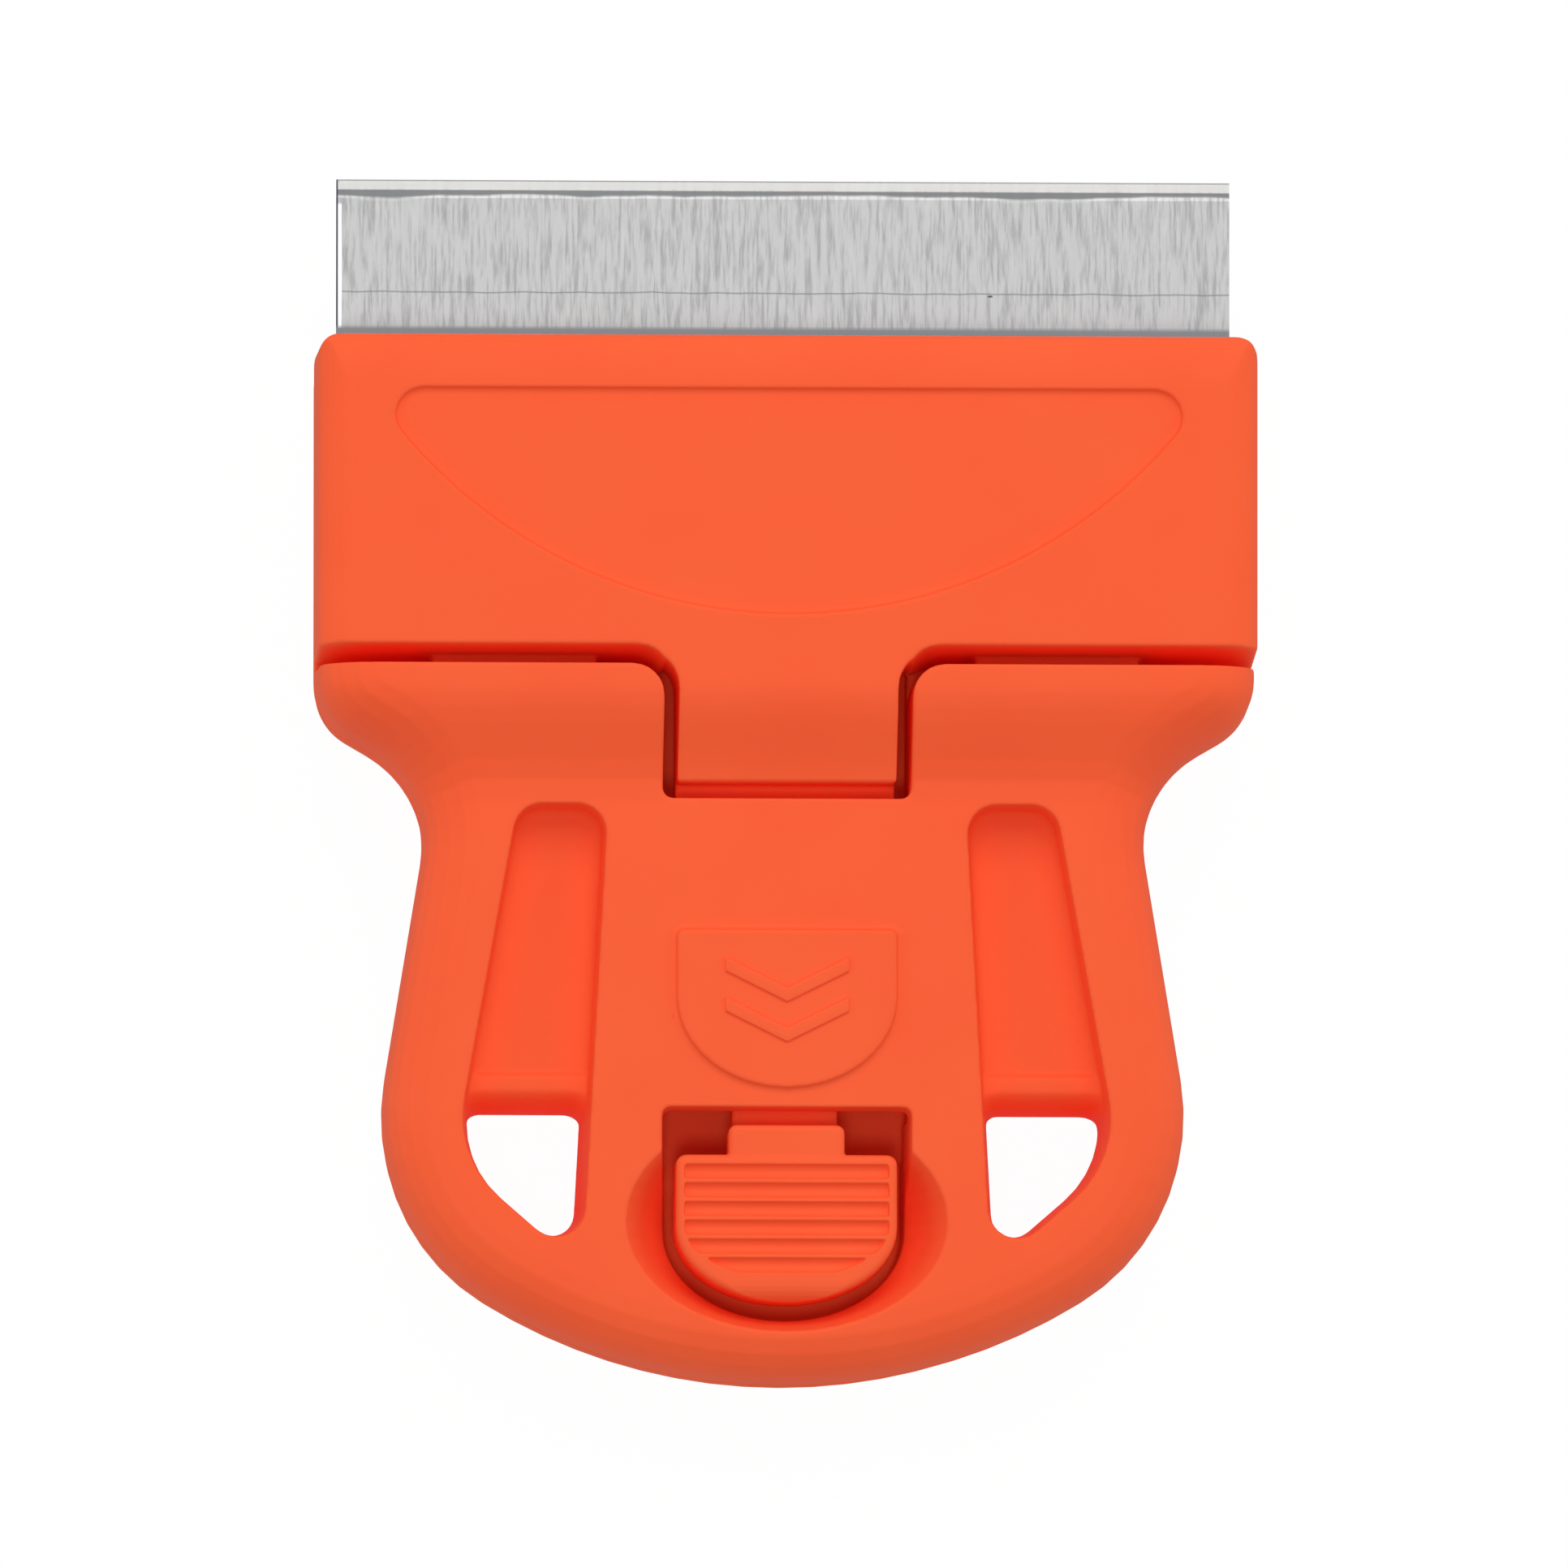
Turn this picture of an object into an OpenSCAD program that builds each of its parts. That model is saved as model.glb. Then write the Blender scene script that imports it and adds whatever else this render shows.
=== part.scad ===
// Razor blade scraper: a two-shell handle, a rocking clamp jaw with a press button, and a single-edge blade.
// It lies on its back: X is the width, Y runs from the handle's tail to the blade's edge,
// and Z is up through the front.
// All sizes are in millimetres.

/* [Overall] */
// Width of the blade
blade_w = 39; // [30:0.5:60]
// Cover of the jaw and shoulders beyond the blade's end, each side
side_cover = 0.98; // [0.8:0.01:3]
// Height of the head's front face above the back
head_z = 12; // [10:0.1:16]
// Height of the handle's front face above the back
grip_z = 10; // [9:0.1:14]
// Height of the parting plane, which is also the blade's bed and the hinge axis
part_z = 5.5; // [4.5:0.1:7]
// Distance from the middle to the blade's edge
edge_y = 26.73; // [22:0.1:34]

/* [Handle outline] */
// Front wall of the shoulders
shoulder_y = 5.14; // [4.8:0.01:7]
// Where the side and the shoulder's flank would meet
shoulder_corner_y = 3; // [1.5:0.1:3.5]
// Rounding of the shoulder
shoulder_r = 2.83; // [1.8:0.01:4]
// Half width where flank and flare would meet
waist_x = 15.29; // [12:0.01:17]
// Height of that point
waist_y = 0; // [-2:0.1:0.5]
// Rounding of the waist
waist_r = 4.7; // [2:0.01:5]
// Half width where flare and tail would meet
hip_x = 18.42; // [16:0.01:22]
// Height of that point
hip_y = -18.95; // [-24:0.01:-16]
// Rounding of the hip
hip_r = 9.4; // [4:0.01:11]
// Height where both flanks of the tail would meet
tail_y = -30.3; // [-40:0.01:-28]
// Rounding of the tail
tail_r = 24.8; // [12:0.01:30]
// Rounding of the front rim
rim_r = 2.4; // [1:0.1:2.8]
// Rounding of the back rim
back_r = 1.2; // [0.5:0.1:1.4]
// Draft of the rear shell's sides from the parting plane to the back
rear_draft = 0.3; // [0.1:0.05:0.4]
// Draft of the front shell's sides up to the front rim
front_draft = 0.1; // [0:0.05:0.3]
// Lower end of the sweep from head height to handle height
sweep_low_y = -0.6; // [-3:0.1:0]
// Upper end of that sweep
sweep_high_y = 4.36; // [3:0.01:4.8]

/* [Bridge and button well] */
// Gap between the tongue and the sides of its slot
tongue_gap = 0.64; // [0.3:0.01:1]
// Rounding of the slot's lower corners
slot_r = 0.4; // [0.1:0.05:0.6]
// Upper edge of the bridge
bridge_top_y = -0.6; // [-2:0.01:0]
// Lower edge of the bridge
bridge_low_y = -14.07; // [-15:0.01:-10]
// Thickness of the bridge
bridge_t = 1.8; // [1.2:0.1:2.4]
// Rounding of the shoulders beside the tongue
inner_r = 1.4; // [0.5:0.1:2]
// Height of the raised pad
pad_t = 0.3; // [0.1:0.05:0.6]
// Half width of the pad
pad_x = 4.79; // [3:0.01:6]
// Upper edge of the pad
pad_top_y = -6.35; // [-8:0.01:-4]
// Straight length of the pad
pad_straight = 2.94; // [1:0.01:5]
// Length of the pad's round end
pad_round = 3.95; // [2:0.01:4.5]
// Reach of the thumb bowl beyond the well's sides
bowl_side = 1.84; // [1:0.01:2.5]
// Reach of the thumb bowl beyond the well's lower end
bowl_end = 0.74; // [0.3:0.01:2]
// Height of the thumb bowl's middle above the middle of the button's round end
bowl_shift = 0.25; // [0:0.01:0.4]
// Depth of the thumb bowl
bowl_d = 3.8; // [2:0.1:3.9]
// Draft of the well's walls from the front to the parting plane
well_draft = 0.24; // [0.05:0.01:0.28]
// Length of the scraping relief on the back of the head
relief_l = 7.7; // [4:0.1:10]
// Height of the scraping relief at the head's end
relief_z = 3; // [1:0.1:3.6]
// Height of the channel's floor under the arm
floor_z = 4; // [2:0.1:4.1]
// Thickness of the back under the spring
seat_z = 1; // [0.8:0.1:1.6]

/* [Grip pockets] */
// Inner upper corner
pocket_in_x = 7.8; // [7:0.01:9]
// Outer upper corner
pocket_out_x = 11.72; // [11:0.01:12.2]
// Upper edge
pocket_top_y = -0.85; // [-2:0.01:0]
// Half width where the outer edge meets the slanting lower one
pocket_hip_x = 14.51; // [14:0.01:15]
// Height of that corner
pocket_hip_y = -16.33; // [-17:0.01:-16]
// Rounding of that corner
pocket_hip_r = 4.7; // [3:0.05:5]
// Half width where the inner edge would meet the lower one
pocket_low_x = 8.91; // [8.5:0.01:9.3]
// Height of that point
pocket_low_y = -21.2; // [-21.4:0.01:-20]
// Rounding of the pocket's tip
pocket_low_r = 1.29; // [1:0.01:1.5]
// Rounding of the upper corners
pocket_r = 1.25; // [0.8:0.05:1.6]
// Draft of the pocket's walls from the front to the parting plane
pocket_draft = 0.33; // [0.2:0.01:0.5]
// Depth of the pocket's floor under the front
pocket_d = 2.1; // [1.5:0.1:2.6]
// Fillet between the pocket's floor and walls
pocket_fillet = 0.45; // [0.2:0.05:0.6]
// Upper edge of the ridge across the floor
ridge_y = -12.51; // [-13:0.01:-11]
// Height of the ridge above the floor
ridge_h = 0.25; // [0.1:0.05:0.4]
// Upper edge of the hang hole at the parting plane
hole_top_y = -14.15; // [-15:0.01:-14]
// Length of the floor's roll-down into the hole
hole_roll = 1.15; // [0.6:0.05:1.2]
// Rounding of the hole's upper inner corner
hole_in_r = 0.5; // [0.3:0.05:0.8]
// Rounding of the hole's upper outer corner
hole_out_r = 0.75; // [0.5:0.05:1.2]

/* [Jaw] */
// Length of blade that shows past the jaw
blade_show = 7.17; // [4:0.01:8]
// Gap between the shoulders and the jaw's lower wall
jaw_gap = 0.57; // [0.45:0.01:1]
// Thickness of the jaw's skin
jaw_skin = 2.2; // [1.5:0.1:3]
// Length of the jaw's face that curves down towards the blade
jaw_fall_l = 2.41; // [1.5:0.01:3.5]
// Radius of that curve
jaw_fall_r = 6.45; // [5:0.05:12]
// Rounding of the jaw's edge over the blade
jaw_edge_r = 0.9; // [0.4:0.05:1.2]
// Rounding of the jaw's long edges
jaw_r = 1.4; // [0.5:0.1:2]
// Depth of the curved recess in the jaw's face
recess_d = 0.3; // [0.1:0.05:0.6]
// Distance from the jaw's side to the recess's corner
recess_side = 2.15; // [2:0.01:6]
// Distance from the jaw's lower wall to the recess's lowest point
recess_low = 1.6; // [1:0.01:4]
// Rounding of the recess's corners
recess_corner_r = 1.2; // [0.4:0.1:1.4]
// Length of the lip that presses on the blade
lip_l = 3; // [2:0.1:4]
// Half width of the tongue
tongue_x = 4.77; // [3:0.01:5]
// Gap between the tongue's end and the bridge
tongue_end_gap = 0.706; // [0.6:0.001:1.2]
// Fillet where the tongue joins the jaw
tongue_fillet = 1.6; // [0.5:0.1:2]
// Thickness of the arm under the bridge
arm_t = 1.8; // [1.2:0.1:2.2]
// Half width of the arm's neck
neck_x = 2.3; // [1.5:0.1:3]
// Angle the jaw opens to, in degrees
open_deg = 5; // [3:0.5:5]

/* [Hinge] */
// Height of the hinge axis along Y
pin_y = 3.6; // [3.2:0.01:4]
// Radius of the hinge pin
pin_r = 0.8; // [0.6:0.01:1]
// Radial play between pin and lugs
pin_play = 0.05; // [0.02:0.01:0.1]
// Outer radius of the lugs
lug_r = 1.7; // [1.4:0.05:2]
// Distance from the slot's side to a lug
lug_inset = 2.87; // [2.4:0.01:4]
// Distance from the head's side to a lug
lug_outset = 5.13; // [4:0.01:7]

/* [Button and spring] */
// Half width of the button
button_x = 4.82; // [4:0.01:5.2]
// Gap between button and well
button_gap = 0.38; // [0.2:0.01:0.5]
// Upper edge of the button
button_top_y = -16.15; // [-17:0.01:-15]
// Straight length of the button
button_straight = 3.17; // [2:0.01:4]
// Length of the button's round end
button_round = 3.24; // [2:0.01:4]
// Number of grooves across the button
groove_n = 6; // [3:1:6]
// Distance between grooves
groove_pitch = 0.817; // [0.7:0.001:0.82]
// Distance from the button's upper edge to the first groove
groove_top = 0.75; // [0.7:0.01:0.9]
// Radius of a groove
groove_r = 0.33; // [0.2:0.01:0.34]
// Height of the grooves' axes above the button's face
groove_lift = 0.03; // [0.01:0.01:0.1]
// Width of the smooth border beside the grooves
border_w = 0.37; // [0.3:0.01:0.5]
// Width of the smooth lip below the grooves
button_lip_w = 1; // [0.6:0.05:1.2]
// Rounding of the lip's lower edge
button_lip_r = 0.9; // [0.5:0.05:1]
// Rounding of the button's upper edges
button_r = 0.3; // [0.1:0.05:0.4]
// Depth of the well's end behind the button's round end
well_end_gap = 0.6; // [0.5:0.01:1.2]
// Length of the collar above the button
collar_l = 1.3; // [0.8:0.01:1.6]
// Half width of the collar
collar_x = 2.53; // [2:0.01:3.5]
// Wire thickness of the spring
wire_d = 0.45; // [0.3:0.05:0.6]
// Outer radius of the spring
spring_r = 2.1; // [1.5:0.05:2.4]
// Turns of the spring
spring_turns = 4.25; // [3:0.25:5]
// Middle of the spring
spring_y = -17.5; // [-19:0.1:-16]

/* [Blade] */
// Thickness of the blade
blade_t = 0.23; // [0.15:0.01:0.4]
// Length of the blade from back to edge
blade_l = 19; // [16:0.1:22]
// Length of the ground face
grind_l = 4.92; // [2:0.1:6]
// Length of the honed edge
hone_l = 0.79; // [0.4:0.01:1.5]
// Thickness of the spine's strip
spine_t = 0.36; // [0.2:0.01:0.5]
// Width of the spine
spine_w = 5.46; // [4:0.01:6]

/* [Hidden] */
head_x = blade_w / 2 + side_cover;
play = 0.02;
eps = 0.01;
big = 80;
// How far a cut runs past the face it starts from
over = 1;
slot_x = tongue_x + tongue_gap;
tongue_end_y = bridge_top_y + tongue_end_gap;
arm_gap = 0.3;
arm_top_z = grip_z - bridge_t - arm_gap;
arm_low_z = arm_top_z - arm_t;
jaw_top_y = edge_y - blade_show;
jaw_low_y = shoulder_y + jaw_gap;
jaw_fall_y = jaw_top_y - jaw_fall_l;
jaw_under_z = part_z + blade_t + play;
sweep_gap = 0.25;
blade_back_y = edge_y - blade_l;
spine_back_y = blade_back_y - spine_t;
spine_front_y = spine_back_y + spine_w;
spine_gap = 0.2;
cell_wall = 0.9;
cell_gap = 0.28;
lug_in_x = slot_x + lug_inset;
lug_out_x = head_x - lug_outset;
pin_seat = 1.8;
pin_in_x = lug_in_x - cell_gap - pin_seat;
pin_out_x = lug_out_x + cell_gap + pin_seat;
well_x = button_x + button_gap;
well_round = button_round + well_end_gap;
button_mid_y = button_top_y - button_straight;
button_lift = 0.5;
button_low_z = arm_low_z + button_lift;
button_corner_r = 0.45;
field_r = 0.2;
collar_drop = 0.1;
collar_r = 0.35;
collar_edge_r = 0.25;
collar_root = 0.6;
well_r = 0.35;
bowl_x = well_x + bowl_side;
bowl_l = well_round + bowl_shift + bowl_end;
bowl_y = button_mid_y + bowl_shift;
bowl_low_in = 0.15;
bowl_low_x = well_x - bowl_low_in;
head_corner_r = 1.8;
channel_over = 0.22;
lug_gap = 0.35;
front_skin = 2.4;
lug_heel = 0.3;
lug_root = [part_z + 0.6, part_z + 3.4];
jaw_back = 0.6;
jaw_back_r = 0.4;
jaw_corner_r = 1;
jaw_under_r = 0.1;
jaw_rib_t = 1;
arm_taper = [3, 1.2];
arm_stud_h = 0.8;
spring_play = 0.3;
edge_t = 0.03;
hone_t = 0.138;
notch_r = 0.85;
notch_in = 0.8;
notch_gap = 1.1;
notch_x = blade_w / 2 - notch_in;
notch_y = spine_front_y + notch_gap + notch_r;
stud_r = notch_r - 0.1;
stud_h = 0.8;
spine_in = 0.15;
fold_r = 0.3;
spine_edge_r = 0.08;
pad_r = 0.25;
peg_r = 0.75;
peg_h = 2;
peg_room = 0.2;
peg_shift = [0.1, -3, -0.7];
pocket_floor_z = grip_z - pocket_d;
ridge_z = pocket_floor_z + ridge_h;
// The pocket's walls stand this far in at the back, and the hole flares by this much there
pocket_back = 0.08;
hole_flare = 0.4;
hole_in = 0.05;
hole_run = [1, 3];
// Pegs of the front shell: one in the web beside the slot, one between pocket and tail
web_peg_y = (pad_top_y + bridge_top_y) / 2 + peg_shift[1];
tail_peg_x = (pocket_low_x + pocket_hip_x) / 2 + peg_shift[2];
tail_flank_y = tail_y + (hip_y - tail_y) * tail_peg_x / hip_x;
pocket_slant = (pocket_hip_y - pocket_low_y) / (pocket_hip_x - pocket_low_x);
pocket_edge_y = pocket_low_y + pocket_slant * (tail_peg_x - pocket_low_x);
peg_spots = [
  [(slot_x + pocket_in_x) / 2 + peg_shift[0], web_peg_y],
  [tail_peg_x, (tail_flank_y + pocket_edge_y) / 2]
];

function unit(v) = v / norm(v);
function mix(p, q, t) = p * (1 - t) + q * t;
function smooth(t) = let (u = min(1, max(0, t))) u * u * (3 - 2 * u);
// Front height of shoulders, tongue and handle at a place along Y
function front_z(y) =
  grip_z + (head_z - grip_z) * smooth((y - sweep_low_y) / (sweep_high_y - sweep_low_y));
// Rounded corner q = [x, y, radius] between p and s as points [x, y, normal x, normal y]
function corner(p, q, s, n) =
  let (
    a = unit([p.x - q.x, p.y - q.y]),
    b = unit([s.x - q.x, s.y - q.y]),
    h = acos(a * b) / 2,
    turn = sign(cross(-a, b)),
    c = [q.x, q.y] + unit(a + b) * q.z / sin(h),
    from = [q.x, q.y] + a * q.z / tan(h) - c,
    a0 = atan2(from.y, from.x)
  )
  [for (k = [0:n])
    let (t = a0 + turn * (180 - 2 * h) * k / n)
    [c.x + q.z * cos(t), c.y + q.z * sin(t), -turn * cos(t), -turn * sin(t)]];
// Closed rounded line from corners [x, y, radius], as points with normals
function rounded_line(q, n = 6) =
  let (m = len(q))
  [for (i = [0:m - 1])
    for (v = corner(q[(i + m - 1) % m], q[i], q[(i + 1) % m], n)) v];
// Points of a line without its normals
function plan(line) = [for (v = line) [v[0], v[1]]];
function rounded(q, n = 6) = plan(rounded_line(q, n));
// Straight-sided line with a half-ellipse at its lower end
function shield_line(x, top, straight, round_l, r) = concat(
  corner([-x, top - straight], [-x, top, r], [x, top], 4),
  corner([-x, top], [x, top, r], [x, top - straight], 4),
  [for (k = [0:24])
    let (c = cos(k * 7.5), s = sin(k * 7.5), n = unit([c / x, -s / round_l]))
    [x * c, top - straight - round_l * s, n.x, n.y]]
);
// Levels of a column whose upper edge is rounded
function edge_levels(low, top, r) = concat(
  [[low, 0]],
  [for (k = [0:4]) [top - r * (1 - sin(k * 22.5)), r * (1 - cos(k * 22.5))]]
);
// Right half of the handle from the shoulder to the tail's tip, walking clockwise
shoulder_q = [head_x, shoulder_corner_y, shoulder_r];
waist_q = [waist_x, waist_y, waist_r];
hip_q = [hip_x, hip_y, hip_r];
tail_q = [0, tail_y, tail_r];
shoulder_arc = corner([head_x, shoulder_y], shoulder_q, waist_q, 7);
waist_arc = corner(shoulder_q, waist_q, hip_q, 9);
hip_arc = corner(waist_q, hip_q, tail_q, 9);
tail_arc = corner(hip_q, tail_q, [-hip_x, hip_y], 18);
grip_half = concat(
  shoulder_arc,
  [for (k = [1:2]) mix(shoulder_arc[7], waist_arc[0], k / 3)],
  waist_arc,
  hip_arc,
  [for (k = [0:9]) tail_arc[k]]
);
front_half = concat([[head_x, shoulder_y, 1, 0]], grip_half);
rear_half = concat(corner([0, jaw_top_y], [head_x, jaw_top_y, head_corner_r], shoulder_q, 5), grip_half);

// Mirrored ring of a half outline, moved inwards by d; lift gives each point's height
function ring(half, d, lift, flat) =
  let (
    m = len(half),
    r = [for (p = half)
      let (y = p[1] - p[3] * d)
      [p[0] - p[2] * d, y, (flat ? 0 : front_z(y)) + lift]]
  )
  concat(r, [for (i = [m - 2:-1:0]) [-r[i].x, r[i].y, r[i].z]]);

// Solid through a stack of rings, closed by strips across the top
module loft(rings, m) {
  n = 2 * m - 1;
  last = (len(rings) - 1) * n;
  polyhedron(
    points = [for (g = rings) for (p = g) p],
    faces = concat(
      [[for (k = [n - 1:-1:0]) k]],
      [for (j = [0:len(rings) - 2], k = [0:n - 1])
        [j * n + k, j * n + (k + 1) % n, (j + 1) * n + (k + 1) % n]],
      [for (j = [0:len(rings) - 2], k = [0:n - 1])
        [j * n + k, (j + 1) * n + (k + 1) % n, (j + 1) * n + k]],
      [for (k = [0:m - 3]) [last + k, last + k + 1, last + n - 2 - k, last + n - 1 - k]],
      [[last + m - 2, last + m - 1, last + m]]
    )
  );
}

module block(x0, x1, y0, y1, z0, z1) {
  translate([x0, y0, z0])
    cube([x1 - x0, y1 - y0, z1 - z0]);
}

module both_sides() {
  children();
  mirror([1, 0, 0])
    children();
}

// Profile drawn as [y, z], pulled along X
module along_x(x0, x1) {
  translate([x0, 0, 0])
    rotate([90, 0, 90])
      linear_extrude(x1 - x0)
        children();
}

module rod(x0, x1, y, z, r) {
  translate([x0, y, z])
    rotate([0, 90, 0])
      cylinder(r = r, h = x1 - x0, $fn = 48);
}

module shield(x, top, straight, round_l, r) {
  polygon(plan(shield_line(x, top, straight, round_l, r)));
}

module oval(x, y) {
  polygon([for (k = [0:39]) [x * cos(k * 9), y * sin(k * 9)]]);
}

// Column around a closed line of points with normals; each level is [height, offset inwards]
module drafted(line, levels) {
  n = len(line);
  last = len(levels) - 1;
  polyhedron(
    points = [for (g = levels) for (v = line) [v[0] - v[2] * g[1], v[1] - v[3] * g[1], g[0]]],
    faces = concat(
      [[for (k = [n - 1:-1:0]) k]],
      [for (j = [0:last - 1], k = [0:n - 1])
        [j * n + k, j * n + (k + 1) % n, (j + 1) * n + (k + 1) % n]],
      [for (j = [0:last - 1], k = [0:n - 1])
        [j * n + k, (j + 1) * n + (k + 1) % n, (j + 1) * n + k]],
      [[for (k = [0:n - 1]) last * n + k]]
    )
  );
}

// Right grip pocket at the front face, walking clockwise
pocket_line = rounded_line([
  [pocket_in_x, pocket_top_y, pocket_r],
  [pocket_out_x, pocket_top_y, pocket_r],
  [pocket_hip_x, pocket_hip_y, pocket_hip_r],
  [pocket_low_x, pocket_low_y, pocket_low_r]
]);
// Hang hole at the parting plane: its upper end lies just inside the pocket's walls,
// and the rest runs clear of them
hole_in_t = (pocket_top_y - hole_top_y) / (pocket_top_y - pocket_low_y);
hole_out_t = (pocket_top_y - hole_top_y) / (pocket_top_y - pocket_hip_y);
hole_in_x = mix(pocket_in_x, pocket_low_x, hole_in_t) + pocket_draft + hole_in;
hole_out_x = mix(pocket_out_x, pocket_hip_x, hole_out_t) - pocket_draft - hole_in;
hole_line = rounded_line([
  [hole_in_x, hole_top_y, hole_in_r],
  [hole_out_x, hole_top_y, hole_out_r],
  [hole_out_x + hole_run[1], pocket_low_y - over, 1],
  [hole_in_x - hole_run[0], pocket_low_y - over, 1]
]);

// Everything a grip pocket takes from the front shell: its floor, the ridge and the roll-down stay
module pocket_cut() {
  slope = pocket_draft / (grip_z - part_z);
  floor_in = slope * pocket_d;
  roll_end = 80;
  roll_h = (ridge_z - part_z + play) / sin(roll_end);
  intersection() {
    drafted(pocket_line, concat(
      [[pocket_floor_z - over, floor_in + pocket_fillet]],
      [for (k = [0:4])
        let (z = pocket_fillet * (1 - cos(k * 22.5)))
        [pocket_floor_z + z, floor_in + pocket_fillet * (1 - sin(k * 22.5)) - slope * z]],
      [[grip_z + over, -slope * over]]
    ));
    along_x(0, big / 2)
      polygon(concat(
        [[over, big], [over, pocket_floor_z], [ridge_y, pocket_floor_z]],
        [for (k = [1:4]) [ridge_y - ridge_h * (1 - cos(k * 22)), pocket_floor_z + ridge_h * sin(k * 22)]],
        [[ridge_y - 2 * ridge_h, ridge_z], [-big, ridge_z], [-big, big]]
      ));
  }
  intersection() {
    drafted(pocket_line, [
      [part_z - over, pocket_draft + slope * over + play],
      [grip_z + over, -slope * over + play]
    ]);
    drafted(hole_line, concat(
      [[part_z - over, 0]],
      [for (k = [0:8])
        let (t = roll_end * k / 8)
        [part_z + roll_h * sin(t), -hole_roll * (1 - cos(t))]],
      [[grip_z + 2 * over, -hole_roll * (1 - cos(roll_end))]]
    ));
  }
}

// The hang hole in the rear shell
module hole_cut() {
  pocket_slope = (pocket_draft - pocket_back) / part_z;
  hole_slope = hole_flare / part_z;
  intersection() {
    drafted(pocket_line, [
      [-over, pocket_back - pocket_slope * over],
      [part_z + over, pocket_draft + pocket_slope * over]
    ]);
    drafted(hole_line, [
      [-2 * over, -hole_flare - 2 * over * hole_slope],
      [part_z + 2 * over, 2 * over * hole_slope]
    ]);
  }
}

// The button's well in the front shell, with its window up to the bridge
module well_cut() {
  slope = well_draft / (grip_z - part_z);
  straight = bridge_low_y - button_mid_y;
  drafted(
    shield_line(well_x + well_draft, bridge_low_y, straight, well_round + well_draft, well_r),
    [[part_z - over, well_draft + slope * over], [grip_z + over, -slope * over]]
  );
}

// Plan of the tongue's slot with the shoulders' rounded inner corners
module slot_shape() {
  y = shoulder_y + 1;
  far = slot_x + inner_r;
  arc = corner([slot_x, 0], [slot_x, shoulder_y, inner_r], [far + 1, shoulder_y], 6);
  polygon(concat(
    plan(corner([-slot_x, y], [-slot_x, bridge_top_y, slot_r], [slot_x, bridge_top_y], 3)),
    plan(corner([-slot_x, bridge_top_y], [slot_x, bridge_top_y, slot_r], [slot_x, y], 3)),
    plan(arc),
    [[far, y], [-far, y]],
    [for (k = [6:-1:0]) [-arc[k].x, arc[k].y]]
  ));
}

// Room for a lug on one side of the parting plane
module lug_room(z0, z1) {
  both_sides()
    block(lug_in_x - cell_gap, lug_out_x + cell_gap, pin_y - lug_r - lug_gap, shoulder_y + cell_gap, z0, z1);
}

// Blind holes of both hinge pins
module pin_holes() {
  both_sides()
    rod(pin_in_x - play, pin_out_x + play, pin_y, part_z, pin_r + play);
}

module rear_shell() {
  color([0.96, 0.38, 0.21])
    difference() {
      loft(concat(
        [ring(rear_half, rear_draft + back_r, -over, true)],
        [for (k = [0:3])
          let (z = back_r * (1 - cos(k * 30)))
          ring(rear_half, rear_draft * (1 - z / part_z) + back_r * (1 - sin(k * 30)), z, true)],
        [ring(rear_half, -rear_draft * over / part_z, part_z + over, true)]
      ), len(rear_half));
      // back face and parting plane
      block(-big / 2, big / 2, -big / 2, big / 2, -2 * over, 0);
      block(-big / 2, big / 2, -big / 2, big / 2, part_z, part_z + 2 * over);
      // scraping relief under the blade
      along_x(-big / 2, big / 2)
        polygon([[jaw_top_y - relief_l, -eps], [jaw_top_y + over, -eps],
          [jaw_top_y + over, relief_z * (1 + over / relief_l)]]);
      // channel of the arm and the button
      block(-slot_x, slot_x, bridge_low_y - 2 * over, shoulder_y + channel_over, floor_z, part_z + over);
      translate([0, 0, floor_z])
        linear_extrude(part_z)
          shield(well_x, bridge_low_y, bridge_low_y - button_mid_y, well_round, well_r);
      translate([0, spring_y, seat_z])
        cylinder(r = spring_r + spring_play, h = floor_z, $fn = 48);
      lug_room(part_z - lug_r - lug_gap, part_z + over);
      pin_holes();
      // groove for the blade's spine
      block(-head_x + cell_wall, head_x - cell_wall, spine_back_y - spine_gap, spine_front_y + spine_gap,
        part_z - spine_t - 2 * play, part_z + over);
      both_sides()
        hole_cut();
      both_sides()
        for (p = peg_spots)
          translate([p.x, p.y, part_z - peg_h - peg_room])
            cylinder(r = peg_r + play, h = peg_h + over, $fn = 32);
    }
  // studs that hold the blade by its notches
  color([0.96, 0.38, 0.21])
    both_sides()
      translate([notch_x, notch_y, part_z - over])
        cylinder(r = stud_r, h = over + stud_h, $fn = 32);
}

module front_shell() {
  color([0.97, 0.39, 0.22]) {
    difference() {
      loft(concat(
        [ring(front_half, 0, part_z - over, true)],
        [for (k = [0:5])
          ring(front_half, front_draft + rim_r * (1 - cos(k * 18)), -rim_r * (1 - sin(k * 18)), false)]
      ), len(front_half));
      // parting plane
      block(-big / 2, big / 2, -big / 2, big / 2, part_z - 2 * over, part_z);
      translate([0, 0, part_z - over])
        linear_extrude(big)
          slot_shape();
      block(-slot_x, slot_x, bridge_low_y - 2 * well_draft, bridge_top_y + over,
        part_z - over, grip_z - bridge_t);
      well_cut();
      // thumb bowl around the button
      translate([0, bowl_y, grip_z - bowl_d])
        linear_extrude(bowl_d + eps, scale = [bowl_x / bowl_low_x, bowl_l / well_round])
          oval(bowl_low_x, well_round);
      lug_room(part_z - over, head_z - front_skin);
      pin_holes();
      both_sides()
        pocket_cut();
    }
    translate([0, 0, grip_z - pad_t])
      linear_extrude(2 * pad_t)
        shield(pad_x, pad_top_y, pad_straight, pad_round, pad_r);
    both_sides()
      for (p = peg_spots)
        translate([p.x, p.y, part_z - peg_h])
          cylinder(r = peg_r, h = peg_h + over, $fn = 32);
  }
}

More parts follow.
